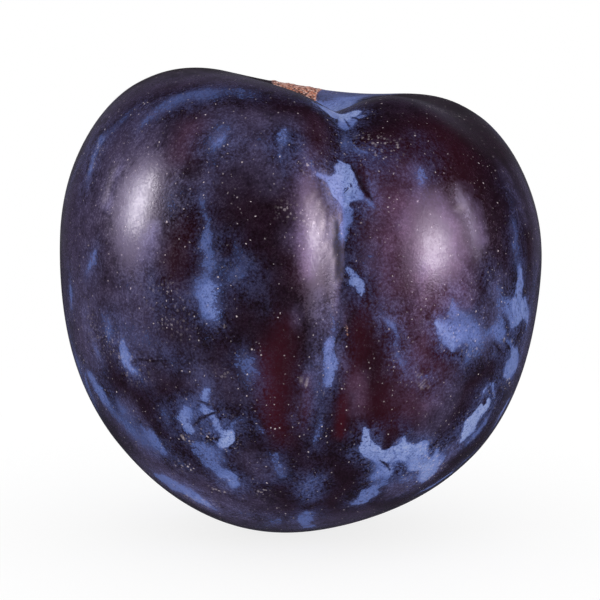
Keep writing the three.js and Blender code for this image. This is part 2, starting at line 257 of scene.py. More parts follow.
# A thinner veil that only greys the skin, with some strokes of painted highlight in the same
# layer: the soft glow round the lamps' highlights on the cheeks and on the suture's lip.
# Strength, soft edge in millimetres, and places as above. The lists that follow say the same.
VEIL_AND_PAINTED_GLOW = [
    # painted highlight over the veil: the glow round the right cheek's highlight, then a streak of gloss
    # beside its arc
    (0.5, 3, (39, 15, 1.5), (40, 7, 1.5)),
    (0.6, 2, (26, 27, 1), (26, 24, 1)),
    (0.5, 1, (45.5, 30, 0.4), (46.8, 25, 0.5), (47.3, 18, 0.5)),
    (0.4, 3, (67, 32, 1), (68, 22, 1)),
    (0.35, 3, (-10, 38, 1.5), (-8, 33, 1.2)),
    (0.35, 3, (-50, -21, 1.2), (-47, -25, 1.2)),
    # painted highlight: the glow under the lip's highlight, a streak of gloss on the left cheek, a bright
    # spot and a streak in the right cheek's gloss
    (0.8, 2, (1, 23, 0.6), (1.5, 15, 0.9)),
    (0.8, 1, (-53.5, 33, 0.5), (-53, 26, 0.7)),
    (0.9, 1, (29.8, 13.5, 0.6), (30, 11.5, 0.8)),
    (0.5, 1.2, (37.3, 28, 0.8), (39, 20, 0.8), (41, 10, 0.9), (43, 5, 0.8)),
    (0.35, 1.5, (10, 9, 0.5), (10, 1, 0.5)),
    (0.45, 1.5, (9.6, -4, 0.5), (9.8, -9, 0.6)),
    (0.3, 3, (-9, 48, 1.5), (-1, 48, 1)),
    (0.4, 3, (-60, 2, 2), (-60, -8, 2)),
    (0.45, 3, (-62, -42, 2.5), (-45, -50, 3), (-30, -56, 2.5)),
    (0.3, 3, (-64, -24, 2), (-55, -34, 2)),
    (0.4, 4, (78, 30, 1.5), (76, 12, 2.5), (74, -5, 3), (74, -25, 2.5)),
    (0.35, 4, (-74, 42, 1.5), (-76, 25, 1.5), (-76, 0, 1.5), (-78, -20, 1.5)),
    (0.3, 5, (-42, 40, 2), (-30, 34, 2), (-18, 34, 2)),
    (0.1, 6, (62, 55, 3), (40, 62, 3), (24, 63, 1.5)),
    (0.4, 6, (-62, 30, 4), (-64, 10, 4), (-64, -5, 4), (-70, -16, 3)),
    (0.3, 4, (-75, 45, 3), (-60, 60, 3), (-30, 64, 2.5), (-8, 62, 1)),
    (0.32, 5, (-52, 44, 2), (-50, 35, 3), (-42, 15, 3), (-47, 0, 4)),
    # painted highlight: the glow at the lower right edge of the left cheek's highlight
    (0.9, 1.5, (-36.3, 22, 0.7), (-36.3, 18, 1.1), (-38.5, 14, 0.6)),
    (0.2, 4, (-38, 0, 2), (-40, -10, 2)),
    (0.3, 3, (-27, 45, 3), (-18, 44, 3)),
    (0.1, 3, (-28, 5, 2), (-29, -8, 3)),
    (0.15, 3, (-22, -12, 3), (-16, -14, 2)),
    (0.45, 3, (2, 40, 0.8), (0, 30, 1), (-1, 20, 1)),
    (0.4, 2, (4.5, 10, 0.7), (5, 2, 0.9), (4.5, -6, 1.0), (3.5, -12, 1)),
    (0.4, 3, (20, 36, 1), (21, 25, 1.7), (18.5, 18, 1.7)),
    (0.35, 3, (24, 15, 3), (24, 5, 2.5)),
    (0.3, 3, (30, 36, 1.5), (29, 30, 1.5)),
    (0.15, 3, (7, 50, 0.8), (8, 44, 0.8)),
    (0.3, 3, (32, 10, 3), (30, -2, 2)),
    (0.35, 2, (14, -13, 1.2), (14, -20, 1)),
    (0.28, 3, (27, -8, 2), (30, -16, 3), (36, -17, 3)),
    (0.3, 3, (40, -14, 2), (37, -24, 2.5)),
    (0.2, 2, (2, -16, 1), (0, -21, 1)),
    (0.35, 3, (52, 8, 1.5), (50, -4, 2.5)),
    (0.4, 2, (50, -35, 1.5), (45, -44, 2), (36, -46, 2)),
    (0.25, 4, (-30, -62, 3), (-10, -62, 3), (10, -64, 3), (30, -62, 3)),
    (0.3, 3, (-15, -33, 1.5), (-13, -38, 1)),
    (0.3, 4, (-50, -38, 3), (-35, -45, 3), (-20, -50, 3)),
    (0.5, 1.5, (-1.5, 3.7, 0.7), (-1.5, 2.3, 0.7)),
]

# Where the wine red of the flesh shows through: strength, soft edge, places.
RED = [
    (0.5, 4, (-4, 2, 0.8), (-5, -3, 1.4), (-5.5, -10, 1.8), (-6, -20, 1.5), (-5, -27, 0.8)),
    (0.5, 2.5, (-8.5, -5, 0.6), (-8, -15, 0.9), (-7.5, -24, 0.5)),
    (0.4, 2, (1.5, -12, 0.3), (1.5, -20, 0.5), (0.5, -25, 0.3)),
    (0.4, 3, (14.5, 5, 0.8), (14, -4, 1.3), (13, -12, 1)),
    (0.8, 1.5, (10.7, -17, 0.4), (10.5, -27, 0.5)),
    (0.25, 5, (18, -20, 3), (24, -24, 2)),
    (0.3, 6, (24, 40, 3), (24, 22, 4), (26, 4, 4), (28, -15, 4)),
    (0.25, 5, (5, 50, 1), (5, 42, 1), (2, 30, 1), (1, 14, 1)),
    (0.25, 6, (45, 40, 4), (42, 28, 3), (38, 10, 3), (36, -9, 2)),
    (0.3, 4, (-33, 44, 1), (-33, 38, 1)),
    (0.25, 4, (-28, 22, 1), (-30, 12, 1)),
]

# Skin rubbed bare through the bloom: strength, soft edge, places.
RUBBED = [
    (0.6, 1.2, (-28, 35.3, 1.2), (-28, 34.7, 1.2)),
    (0.8, 0.5, (-17, 19.5, 0.5), (-17.5, 17.5, 0.5)),
    (0.8, 0.3, (54.3, -20.2, 0.35), (55, -21.3, 0.35)),
    (0.9, 0.15, (12, 33.2, 0.05), (14.5, 35.3, 0.05)),
    (0.9, 0.15, (11.8, 33.8, 0.05), (12.8, 34.6, 0.05)),
    (0.7, 1.0, (-44, -22, 0.8), (-40, -27.5, 0.8)),
    (0.6, 2.5, (-29.5, 23, 0.8), (-29, 15, 0.8)),
    (0.4, 3.0, (-13, 33, 1), (-12, 26, 1)),
    (0.6, 1.5, (-4.5, 29, 0.7), (-4, 25, 0.8)),
    (0.5, 0.6, (31.5, -29, 0.7), (33, -30, 0.4)),
    (0.6, 3.0, (-14, 27, 1), (-12, 21, 1)),
    (0.8, 3.0, (-11, 21, 0.8), (-5, 14, 1), (-5, 7, 1)),
    (0.7, 3.0, (-16, 8, 1.5), (-12, 2, 1.8), (-8, -2, 1.2)),
    (0.7, 2.5, (-6, -8, 1), (-6, -24, 1)),
    (0.75, 1.5, (42.5, 25, 0.8), (43.5, 17, 0.9)),
    (0.9, 2, (25.5, 18.5, 0.8), (25.8, 10, 1.0)),
    (0.7, 0.5, (13.8, 30.2, 0.4), (15.3, 30, 0.5)),
    (0.8, 1.5, (-38, 32, 0.8), (-37.5, 25, 0.8)),
    (0.8, 1.2, (52.5, -11.5, 0.8), (54.7, -14.5, 0.8)),
    (0.6, 0.3, (18, 58.8, 0.05), (14.5, 54.5, 0.15)),
    (0.6, 0.3, (20.7, 58.8, 0.05), (20, 54, 0.15)),
    (0.6, 0.3, (23.5, 58.8, 0.05), (25.5, 55, 0.2)),
    (0.9, 0.4, (25, -27.3, 1.1), (24.3, -30.3, 0.65)),
    (0.5, 2, (-19, 33, 1.5), (-19, 30, 1)),
    (0.7, 0.2, (56.5, 3.5, 0.06), (61.5, -2, 0.06)),
    (0.7, 0.2, (60, 5, 0.06), (65.5, -1.5, 0.06)),
    (0.7, 0.2, (63, 5, 0.06), (67.5, 0, 0.06)),
    (0.7, 0.2, (54.5, 1.5, 0.06), (58.5, -3.5, 0.06)),
    (0.8, 0.5, (17.2, 39, 0.25), (17.8, 35, 0.35), (18.2, 32, 0.3)),
]

# Dry pale scuffs, and painted highlights: pale streaks and spots of gloss on the suture's lip and the
# cheeks, where scratches catch the lamps. Strength, soft edge, places.
SCUFFS_AND_PAINTED_GLINTS = [
    # painted highlight: the gloss and scratches on the suture's lip, these three and the one at (1.8, 30)
    (0.42, 0.6, (3.6, 31, 0.15), (4.8, 28, 0.3), (5.5, 24.5, 0.25)),
    (0.5, 0.4, (5.3, 25, 0.2), (5.7, 21.5, 0.12), (7, 18.5, 0.12), (8.1, 16, 0.18)),
    (0.3, 0.6, (8, 27, 0.2), (8.2, 23, 0.2)),
    (0.6, 0.25, (0.2, -12, 0.08), (1.5, -13.5, 0.08)),
    # a scratch in the right cheek's arc of gloss, partly painted highlight
    (0.5, 0.3, (40.5, 28, 0.03), (43.2, 24.3, 0.06)),
    (0.8, 0.2, (5.8, -16, 0.08), (5.9, -16.4, 0.08)),
    (0.7, 0.15, (-33.4, -27.5, 0.06), (-33.2, -28.6, 0.1)),
    # painted highlights: a faint streak of gloss on the left cheek, then one on the suture's lip
    (0.3, 1.0, (-54, 33, 0.2), (-54, 26, 0.3)),
    (0.25, 1.0, (1.8, 30, 0.3), (2.6, 25, 0.4)),
    (0.7, 0.2, (57, -5.3, 0.08), (57.2, -5.8, 0.08)),
    (0.6, 0.2, (61, -6, 0.08), (61.3, -6.4, 0.08)),
    (0.5, 0.1, (29.6, -11.5, 0.02), (32.3, -15, 0.04)),
    (0.5, 0.1, (30.6, -11.5, 0.02), (33.6, -15.5, 0.04)),
    (0.4, 0.1, (28.6, -12, 0.02), (31.3, -15, 0.04)),
    # a painted highlight: a bright spot low in the right cheek's gloss
    (0.5, 0.15, (30, 12.7, 0.06), (31.5, 12.4, 0.06)),
    (0.5, 0.1, (34, -41, 0.02), (40, -37.5, 0.05)),
    (0.5, 0.1, (35.5, -42.5, 0.02), (42, -38.5, 0.05)),
    (0.5, 0.1, (37, -44, 0.02), (44, -40, 0.05)),
]

# Where dust dulls the skin, in the fold, on the rim of the crown behind the shoulders and in
# the hollow: strength, soft edge, places.
DULL = [
    (0.8, 5, (66, 63, 2), (90, 60, 5), (120, 58, 6), (150, 58, 6), (180, 58, 6)),
    (0.8, 5, (-66, 63, 2), (-90, 60, 5), (-120, 58, 6), (-150, 58, 6), (-180, 58, 6)),
    (0.8, 4, (180, 74, 5), (0, 82, 4)),
    (1.0, 0.8, (9.2, 26, 0.3), (9.4, 20, 0.6), (9.6, 13, 0.4)),
    (0.25, 4, (3, 18, 0.3), (3, 5, 0.3)),
]

# Fine cracks and creases in the skin, which also lose their wax, and the cracks are painted
# dark with shade: depth in millimetres, soft edge, places. A negative depth raises a lip.
CUTS = [
    (0.09, 0.5, (-28.6, -24.2, 0.05), (-26.5, -22.3, 0.12), (-23, -20.6, 0.1), (-21.3, -20.1, 0.03)),
    (0.07, 0.45, (-26.3, -17.4, 0.03), (-24.5, -17.8, 0.1), (-23, -18.3, 0.03)),
    (0.07, 0.5, (-44, -9.4, 0.03), (-41, -8.3, 0.1), (-37, -8.4, 0.1), (-33, -7.8, 0.03)),
    (0.07, 0.45, (23.2, -34.8, 0.03), (25, -35.8, 0.1), (26.4, -36.6, 0.1), (28.2, -38.6, 0.03)),
    (0.07, 0.45, (52.5, -5.5, 0.03), (55.7, -7.8, 0.1), (59, -9.8, 0.03)),
    (0.06, 0.45, (56.5, -5.3, 0.03), (61, -8.2, 0.08)),
    (0.08, 0.5, (15.5, 6.5, 0.03), (13, 4, 0.1), (10.5, 0.5, 0.12), (8.6, -3, 0.03)),
    (0.2, 0.7, (15.5, 40, 0.05), (16.5, 36.5, 0.15), (17.2, 33.8, 0.15), (19, 30.8, 0.05)),
    (-0.12, 0.6, (18.6, 39, 0.1), (19.1, 35, 0.15), (19, 31.5, 0.1)),
]

# The corky scar that runs from the back of the stalk cavity over its rim, and the scar of the
# stalk at the bottom of the cavity: strength, soft edge, places.
CORK = [
    (0.9, 0.25, (11.4, 1.0, 0.06), (11.3, -1.9, 0.08)),
    (1.0, 0.35, (-172, 77, 3.0), (-177, 65, 3.1)),
    (1.0, 0.5, (-140, 79, 1.5), (-120, 81, 1.6)),
]
CORK_RISE = 0.12  # how far the cork stands proud, in millimetres
CORK_BODY = 0.6  # the part of that rise which its grains don't change
CORK_GRAINS = 1.6  # cork grains to the millimetre
CORK_FRACTAL = (1.0, 2.0, 2)  # how fast finer grains weaken, how much finer each is, how many sizes

# Where pale flecks of dry skin gather: strength, soft edge, places.
FLECKS = [
    (0.4, 1.5, (24, 49, 0.5), (26, 46.5, 0.8), (30, 43, 0.5)),
    (0.5, 1.5, (23, 43, 0.4), (28, 40.5, 0.4)),
    (0.9, 1.0, (-32.5, -28.3, 0.3), (-31.5, -28.8, 0.3)),
    (0.9, 0.8, (-26, -26.5, 0.3), (-26, -27.5, 0.3)),
    (1.0, 1.5, (-40, -37.5, 0.3), (-36.5, -38.5, 0.5)),
    (0.9, 1.2, (-29, -45.5, 0.4), (-27.5, -45.5, 0.4)),
    (0.5, 1.2, (-19.5, -8.5, 0.4), (-18, -10, 0.4)),
    (0.9, 1.2, (-13, -46, 0.5), (-12, -45.5, 0.5)),
    (0.12, 2.5, (-31, 9, 1.0), (-29, 4, 1.2), (-27, 0, 1.0)),
    (0.9, 0.7, (-30.5, 0.5, 0.2), (-30, -0.7, 0.2)),
    (0.9, 0.7, (-17.7, 2, 0.2), (-16.8, 1, 0.2)),
    (0.8, 0.8, (-33, 9.5, 0.3), (-31.5, 8.5, 0.3)),
    (0.5, 2.5, (38, -32, 1.0), (44, -38, 1.5), (49, -42, 1.0)),
    (0.8, 1.5, (63, -16.5, 0.5), (67, -18.5, 0.5)),
    (0.6, 2.0, (-65.5, 37, 0.8), (-65, 33, 0.8)),
    (0.7, 1.2, (-20, -29.3, 0.5), (-17.5, -29, 0.5)),
    (0.5, 3.0, (-47, -52, 1.0), (-38, -52, 1.0)),
    (0.2, 3.0, (-58, -2, 1.5), (-50, -6, 1.5), (-44, -12, 1.5)),
    (0.12, 3.0, (-36, 8, 1.0), (-35, 0, 1.0)),
    (0.25, 3.0, (36, 0, 1.0), (46, -6, 1.0)),
    (0.6, 1.5, (2, 38, 0.6), (4, 36, 0.6)),
    (0.5, 2.0, (60, 54, 0.5), (75, 50, 0.5)),
    (0.6, 2.0, (-3, 27, 0.6), (3, 26, 0.6)),
]

# The sides that face away have strokes drawn at random: of bloom, of veil and of red.
AWAY_BLOOM = {"count": 210, "seed": 4}
AWAY_VEIL = {"count": 40, "seed": 7}
AWAY_RED = {"count": 40, "seed": 9}
AWAY_FAINT = 0.4  # strength of their veils and reds
AWAY_FAINT_EDGE = 4  # and their soft edge, in millimetres
AWAY_SIDES = (97, 262)  # degrees round between which they begin
AWAY_HEIGHTS = (-0.98, 0.86)  # the same for how far up, as a sine
AWAY_LOWEST = -86  # degrees up that none of them passes
AWAY_HIGHEST = 84
AWAY_LEAN = 25  # degrees by which a stroke leans
AWAY_BEND = 20  # and by which it bends at each place
AWAY_PLACES = (2, 4)  # how many places it has, from and to
AWAY_SIZE = (-0.15, 0.5)  # the middle and the spread of the logarithm of a stroke's size
AWAY_STEP = 3.2  # degrees from place to place at size 1
AWAY_HALF_WIDTH = 0.48  # millimetres at size 1
AWAY_WIDENING = (0.4, 1.6)  # between which its half width varies along it
AWAY_CLOSENESS = (0.4, 1)
AWAY_THICKNESS = (0.6, 0.95)  # as a share of its closeness
AWAY_SOFT = (0.15, 0.9)
POLE_COSINE = 0.2  # keeps the steps round the fruit short near its poles


def way(around, up):
    """The direction, from the middle of the fruit, of a place on its skin."""
    turn = math.radians(around)
    lift = math.radians(up)
    return np.array([math.cos(lift) * math.sin(turn), -math.cos(lift) * math.cos(turn), math.sin(lift)])


def wisps(count, seed):
    """Strokes of bloom drawn at random, each a few places long."""
    chance = random.Random(seed)
    strokes = []
    for _ in range(count):
        around = chance.uniform(*AWAY_SIDES)
        up = math.degrees(math.asin(chance.uniform(*AWAY_HEIGHTS)))
        heading = chance.gauss(0, AWAY_LEAN)
        size = chance.lognormvariate(*AWAY_SIZE)
        places = []
        for _ in range(chance.randint(*AWAY_PLACES)):
            places.append((around, up, AWAY_HALF_WIDTH * size * chance.uniform(*AWAY_WIDENING)))
            heading += chance.gauss(0, AWAY_BEND)
            turn = math.radians(heading)
            up = max(AWAY_LOWEST, min(AWAY_HIGHEST, up - AWAY_STEP * size * math.cos(turn)))
            around += AWAY_STEP * size * math.sin(turn) / max(POLE_COSINE, math.cos(math.radians(up)))
        closeness = chance.uniform(*AWAY_CLOSENESS)
        thickness = closeness * chance.uniform(*AWAY_THICKNESS)
        strokes.append((closeness, thickness, chance.uniform(*AWAY_SOFT), *places))
    return strokes


def faint(strokes):
    """The same strokes, weaker and softer, for a layer that has no thickness."""
    return [(AWAY_FAINT * closeness, AWAY_FAINT_EDGE, *places) for closeness, _, _, *places in strokes]


def stroke_cover(ways, soft, places):
    """How far a stroke covers each direction, from 0 to 1, with its soft edge."""
    cover = np.zeros(len(ways))
    for (a1, u1, w1), (a2, u2, w2) in zip(places, places[1:]):
        start = way(a1, u1)
        end = way(a2, u2)
        reach = (max(w1, w2) + soft) / MEAN_RADIUS + np.linalg.norm(end - start) / 2
        near = np.linalg.norm(ways - (start + end) / 2, axis=1) < reach
        along = end - start
        share = np.clip((ways[near] - start) @ along / (along @ along), 0, 1)
        away = np.linalg.norm(ways[near] - start - share[:, None] * along, axis=1) * MEAN_RADIUS
        half = w1 + (w2 - w1) * share
        edge = np.clip((half + soft / 2 - away) / soft, 0, 1)
        cover[near] = np.maximum(cover[near], edge * edge * (3 - 2 * edge))
    return cover


def laid_on(ways, strokes):
    """How far a list of strokes, laid over each other, covers each direction."""
    free = np.ones(len(ways))
    for strength, soft, *places in strokes:
        free *= 1 - strength * stroke_cover(ways, soft, places)
    return 1 - free


def smooth_copy(cage, levels, name):
    """A subdivision surface of the cage, as a mesh of its own."""
    holder = bpy.data.objects.new(name, cage)
    bpy.context.scene.collection.objects.link(holder)
    rounding = holder.modifiers.new("rounding", "SUBSURF")
    rounding.levels = levels
    rounding.render_levels = levels
    mesh = bpy.data.meshes.new_from_object(holder.evaluated_get(bpy.context.evaluated_depsgraph_get()))
    bpy.data.objects.remove(holder)
    return mesh


def coordinates(mesh):
    """The places of a mesh's vertices, one a row."""
    flat = np.zeros(len(mesh.vertices) * 3, np.float32)
    mesh.vertices.foreach_get("co", flat)
    return flat.reshape(-1, 3).astype(float)


low, high = cad_box
middle = np.array((Vector(low) + Vector(high)) / 2)


def directions(mesh):
    """Each vertex's direction from the middle of the fruit."""
    ways = coordinates(mesh) - middle
    return ways / np.linalg.norm(ways, axis=1)[:, None]


WANDER = 0.8  # how far the edges of the bloom stray, in millimetres
WANDER_WAVES = 9  # and in how many waves round the fruit
FINE_WANDER = 0.4  # how far they stray in finer waves, as a share of WANDER
FINE_WAVES = 3  # and how many times finer those waves are
WANDER_SEED = 1795358047  # which waves they are: without it, each run draws others

mathutils.noise.seed_set(WANDER_SEED)


def wander(ways):
    """The same directions, drifting a little, which gives the strokes uneven edges."""
    drift = []
    for spot in ways:
        wave = Vector(spot) * WANDER_WAVES
        fine = mathutils.noise.noise_vector(wave * FINE_WAVES) * WANDER * FINE_WANDER
        drift.append(mathutils.noise.noise_vector(wave) * WANDER + fine)
    drifted = ways + np.array(drift) / MEAN_RADIUS
    return drifted / np.linalg.norm(drifted, axis=1)[:, None]


def cut_depth(ways):
    """How deep the cracks and creases lie at each direction, in millimetres."""
    depth = np.zeros(len(ways))
    for deepest, soft, *places in CUTS:
        depth += deepest * stroke_cover(ways, soft, places)
    return depth


CLOSENESS = 0.71  # how closely the wax of the closest stroke covers the skin
SOFT_EDGE = 3  # the edge that a softness of 1 gives the wax, in millimetres
LEAST_EDGE = 0.4  # and the edge that every stroke has besides
HAZE = 0.24  # how much wax lies around each stroke
HAZE_SPREAD = 5  # and over how wide an edge, in millimetres
CRACK_BARE = 0.85  # how much of its wax a crack loses
CRACK_BARE_EDGE = 0.7  # over how much of its own edge
CRACK_SHADE_EDGE = 0.8  # and over how much of it the crack is painted dark with shade
NEXT_TO_NOTHING = 1e-6  # keeps the mean thickness of the wax a number where there is none


def paint(ways):
    """The layers of the skin's colour at each direction."""
    loose = wander(ways)
    cracks = [(soft, places) for depth, soft, *places in CUTS if depth > 0]
    bare = 1 - laid_on(ways, RUBBED)
    bare *= 1 - laid_on(ways, [(CRACK_BARE, CRACK_BARE_EDGE * soft, *places) for soft, places in cracks])
    skin_free = np.ones(len(ways))
    haze_free = np.ones(len(ways))
    depth_sum = np.zeros(len(ways))
    depth_weight = np.full(len(ways), NEXT_TO_NOTHING)
    for closeness, thickness, soft, *places in BLOOM + wisps(**AWAY_BLOOM):
        cover = stroke_cover(loose, LEAST_EDGE + SOFT_EDGE * soft, places)
        skin_free *= 1 - CLOSENESS * closeness * cover
        haze_free *= 1 - HAZE * thickness * stroke_cover(loose, HAZE_SPREAD, places)
        depth_sum += cover * thickness
        depth_weight += cover
    return {
        "bloom": (1 - skin_free) * bare,
        "bloom_depth": depth_sum / depth_weight,
        "haze": (1 - haze_free) * bare,
        "veil_and_painted_glow": laid_on(loose, VEIL_AND_PAINTED_GLOW + faint(wisps(**AWAY_VEIL))) * bare,
        # painted shade: the cracks darkened along their middles
        "crack_shade": laid_on(ways, [(1.0, CRACK_SHADE_EDGE * soft, *places) for soft, places in cracks]),
        "red": laid_on(ways, RED + faint(wisps(**AWAY_RED))),
        "cork": laid_on(loose, CORK),
        "flecks": laid_on(loose, FLECKS),
        "scuffs_and_glints": laid_on(ways, SCUFFS_AND_PAINTED_GLINTS),
        "dull": laid_on(ways, DULL),
    }


def face_change(mesh, values):
    """How much a layer changes across each face."""
    corners = np.zeros(len(mesh.loops), np.int32)
    mesh.loops.foreach_get("vertex_index", corners)
    starts = np.zeros(len(mesh.polygons), np.int32)
    mesh.polygons.foreach_get("loop_start", starts)
    there = values[corners]
    return np.maximum.reduceat(there, starts) - np.minimum.reduceat(there, starts)


def refine(mesh, wanted):
    """Cuts each wanted face in four."""
    grid = bmesh.new()
    grid.from_mesh(mesh)
    edges = {edge for face, cut in zip(grid.faces, wanted) if cut for edge in face.edges}
    bmesh.ops.subdivide_edges(grid, edges=list(edges), cuts=1, use_grid_fill=True)
    grid.to_mesh(mesh)
    grid.free()


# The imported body's triangles are joined in pairs, which gives the cage of squares that both
# subdivision surfaces start from: the fine one is the form, the coarse one becomes the fruit.
MERGE_DISTANCE = 0.001 * MM
SHARPEST_FOLD = math.radians(40)  # between two triangles that are joined
MOST_SKEW = math.radians(60)  # by which the corners of the two together may differ from square
FORM_LEVELS = 3
FRUIT_LEVELS = 1

cad_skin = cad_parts["plum"]
body = bmesh.new()
body.from_mesh(cad_skin.data)
bmesh.ops.remove_doubles(body, verts=body.verts, dist=MERGE_DISTANCE)
bmesh.ops.join_triangles(
    body,
    faces=body.faces,
    angle_face_threshold=SHARPEST_FOLD,
    angle_shape_threshold=MOST_SKEW,
)
cage = bpy.data.meshes.new("plum_cage")
body.to_mesh(cage)
body.free()
form = smooth_copy(cage, FORM_LEVELS, "plum_form")
fruit = smooth_copy(cage, FRUIT_LEVELS, "plum_fruit")

# The fruit is cut finer where its wax ends and along its outline seen from the suture's side,
# again where the wax ends and at the cork, and twice more at the cracks.
OUTLINE_SEEN_FROM = (0, 8)  # degrees round and up
OUTLINE_BAND = 0.1  # as a share of the radius
BLOOM_STEP = 0.1  # change of the bloom across a face that has it cut
FINE_BLOOM_STEP = 0.12
CORK_STEP = 0.1
CRACK_STEPS = (0.03, 0.05)  # the same for the depth of the cracks, in millimetres

ways = directions(fruit)
outline = np.clip(ways @ way(*OUTLINE_SEEN_FROM) / OUTLINE_BAND, 0, 1)
layers = paint(ways)
refine(fruit, (face_change(fruit, layers["bloom"]) > BLOOM_STEP) | (face_change(fruit, outline) > 0))
layers = paint(directions(fruit))
bloom_ends = face_change(fruit, layers["bloom"]) > FINE_BLOOM_STEP
refine(fruit, bloom_ends | (face_change(fruit, layers["cork"]) > CORK_STEP))
for step in CRACK_STEPS:
    refine(fruit, face_change(fruit, np.abs(cut_depth(directions(fruit)))) > step)

plum = bpy.data.objects.new("plum_fruit", fruit)
bpy.context.scene.collection.objects.link(plum)
target = bpy.data.objects.new("plum_form", form)
bpy.context.scene.collection.objects.link(target)
fit = plum.modifiers.new("fit", "SHRINKWRAP")
fit.target = target
fruit = bpy.data.meshes.new_from_object(plum.evaluated_get(bpy.context.evaluated_depsgraph_get()))
plum.modifiers.clear()
plum.data = fruit
bpy.data.objects.remove(target)
fruit.name = "plum_fruit"

ways = directions(fruit)
layers = paint(ways)
rises = -cut_depth(ways)
spots = coordinates(fruit)
for index in np.flatnonzero(layers["cork"]):
    grains = mathutils.noise.fractal(Vector(spots[index]) / MM * CORK_GRAINS, *CORK_FRACTAL)
    rises[index] += layers["cork"][index] * CORK_RISE * (CORK_BODY + grains)
normals = np.array([normal.vector for normal in fruit.vertex_normals])
spots += normals * rises[:, None] * MM
fruit.vertices.foreach_set("co", spots.astype(np.float32).ravel())
fruit.update()
fruit.shade_smooth()
for name, values in layers.items():
    layer = fruit.attributes.new(name, "FLOAT", "POINT")
    layer.data.foreach_set("value", values.astype(np.float32))


def linear(hex_colour):
    """Turns an sRGB hex colour into the linear one that a shader takes."""
    channels = [int(hex_colour[i : i + 2], 16) / 255 for i in (1, 3, 5)]
    curve = [c / 12.92 if c <= 0.04045 else ((c + 0.055) / 1.055) ** 2.4 for c in channels]
    return (*curve, 1.0)


def add_node(tree, kind, settings=None, **links):
    """Adds a node, sets its settings, and fills its inputs or links them, by name or number.
    A node given for an input stands for the first of its outputs that is in use."""
    made = tree.nodes.new(kind)
    for name, value in (settings or {}).items():
        setattr(made, name, value)
    for name, value in links.items():
        socket = made.inputs[int(name[1:]) if name[1:].isdigit() else name.replace("_", " ")]
        if isinstance(value, bpy.types.Node):
            value = next(output for output in value.outputs if output.enabled)
        if isinstance(value, bpy.types.NodeSocket):
            tree.links.new(value, socket)
        else:
            socket.default_value = value
    return made


TIMES = {"operation": "MULTIPLY"}
TIMES_PLUS = {"operation": "MULTIPLY_ADD"}
MINUS = {"operation": "SUBTRACT"}
POWER = {"operation": "POWER"}
SMOOTH = {"interpolation_type": "SMOOTHSTEP"}
COLOUR_MIX = {"data_type": "RGBA"}  # its input 0 is the share, 6 and 7 are the two colours

# Ripe plum skin, grown smooth, under its wax. Bare, it is nearly black with wine red behind
# it, and glossy, so that it shows each lamp sharply. The wax is a dust of fine crystals: thin,
# it greys the skin and widens its highlights, and thick, it is a matt pale blue.
SKIN_DARK = "#180a14"
SKIN_PLUM = "#2b1427"
SKIN_RED = "#4a0e1c"
WAX_THIN = "#7691e7"
WAX_THICK = "#a0b0e0"
VEIL_AND_GLOW_GREY = "#6d6590"
VEIL_AND_GLOW_WINE = "#7e5c80"
# pale dry skin, which is also the colour of the painted highlights
PALE_DRY_AND_GLINT = "#ecdce4"
SKIN_IOR = 1.45

# Cloudy patterns: cells to the millimetre, detail, roughness, stretch, and the two values of
# the noise that become 0 and 1. The crystals of the wax are far finer than its grain, which
# is drawn as coarse as it needs to show.
PATTERNS = {
    "grain": (3.6, 2, 0.7, (1, 1, 1), 0.35, 0.65),
    "clouds": (0.75, 4, 0.5, (1, 1, 1), 0.35, 0.65),
    "smears": (1.7, 3, 0.5, (1, 1, 0.3), 0.35, 0.65),
    "patches": (0.16, 4, 0.6, (1, 1, 1), 0.35, 0.65),
    "pores": (4.5, 0, 0.5, (1, 1, 1), 0.3, 0.42),
}

# Blends of those patterns: the share of each.
BLENDS = {
    "uneven": {"grain": 0.5, "clouds": 0.3, "smears": 0.2},
    "mottled": {"grain": 0.45, "clouds": 0.3, "smears": 0.25},
    "hazy": {"grain": 0.45, "smears": 0.15, "clouds": 0.25, "patches": 0.15},
    "calm": {"grain": 0.4, "clouds": 0.3, "patches": 0.3},
}
HAZY_RANGE = (0.25, 0.75)  # the two values of that blend that become 0 and 1

# What shows of the painted layers: a layer, the pattern that breaks it up, how much the
# pattern adds to its strength, and the strength it has besides.
SHOWN = {
    "depth": ("bloom_depth", "mottled", 0.7, 0.68),
    "haze": ("haze", "hazy", 1.6, 0.05),
    "veil_and_painted_glow": ("veil_and_painted_glow", "calm", 1.3, 0.08),
    "blush": ("red", "patches", 3.0, 1.5),
    "scuffs_and_glints": ("scuffs_and_glints", "grain", 0.5, 0.4),
}

skin = bpy.data.materials.new("waxy_plum_skin")
skin.use_nodes = True
tree = skin.node_tree
tree.nodes.clear()
place = add_node(tree, "ShaderNodeTexCoord")
in_mm = add_node(
    tree, "ShaderNodeVectorMath", {"operation": "SCALE"}, _0=place.outputs["Object"], Scale=1 / MM
)
painted = {}
for name in layers:
    painted[name] = add_node(tree, "ShaderNodeAttribute", {"attribute_name": name}).outputs["Fac"]

pattern = {}
for name, (cells, detail, roughness, stretch, least, most) in PATTERNS.items():
    placed = add_node(tree, "ShaderNodeMapping", Vector=in_mm, Scale=stretch)
    cloud = add_node(
        tree, "ShaderNodeTexNoise", Vector=placed, Scale=cells, Detail=detail, Roughness=roughness
    )
    pattern[name] = add_node(tree, "ShaderNodeMapRange", Value=cloud, From_Min=least, From_Max=most)
for name, parts in BLENDS.items():
    blend = 0.0
    for part, share in parts.items():
        blend = add_node(tree, "ShaderNodeMath", TIMES_PLUS, _0=pattern[part], _1=share, _2=blend)
    pattern[name] = blend
least, most = HAZY_RANGE
pattern["hazy"] = add_node(
    tree, "ShaderNodeMapRange", SMOOTH, Value=pattern["hazy"], From_Min=least, From_Max=most
)

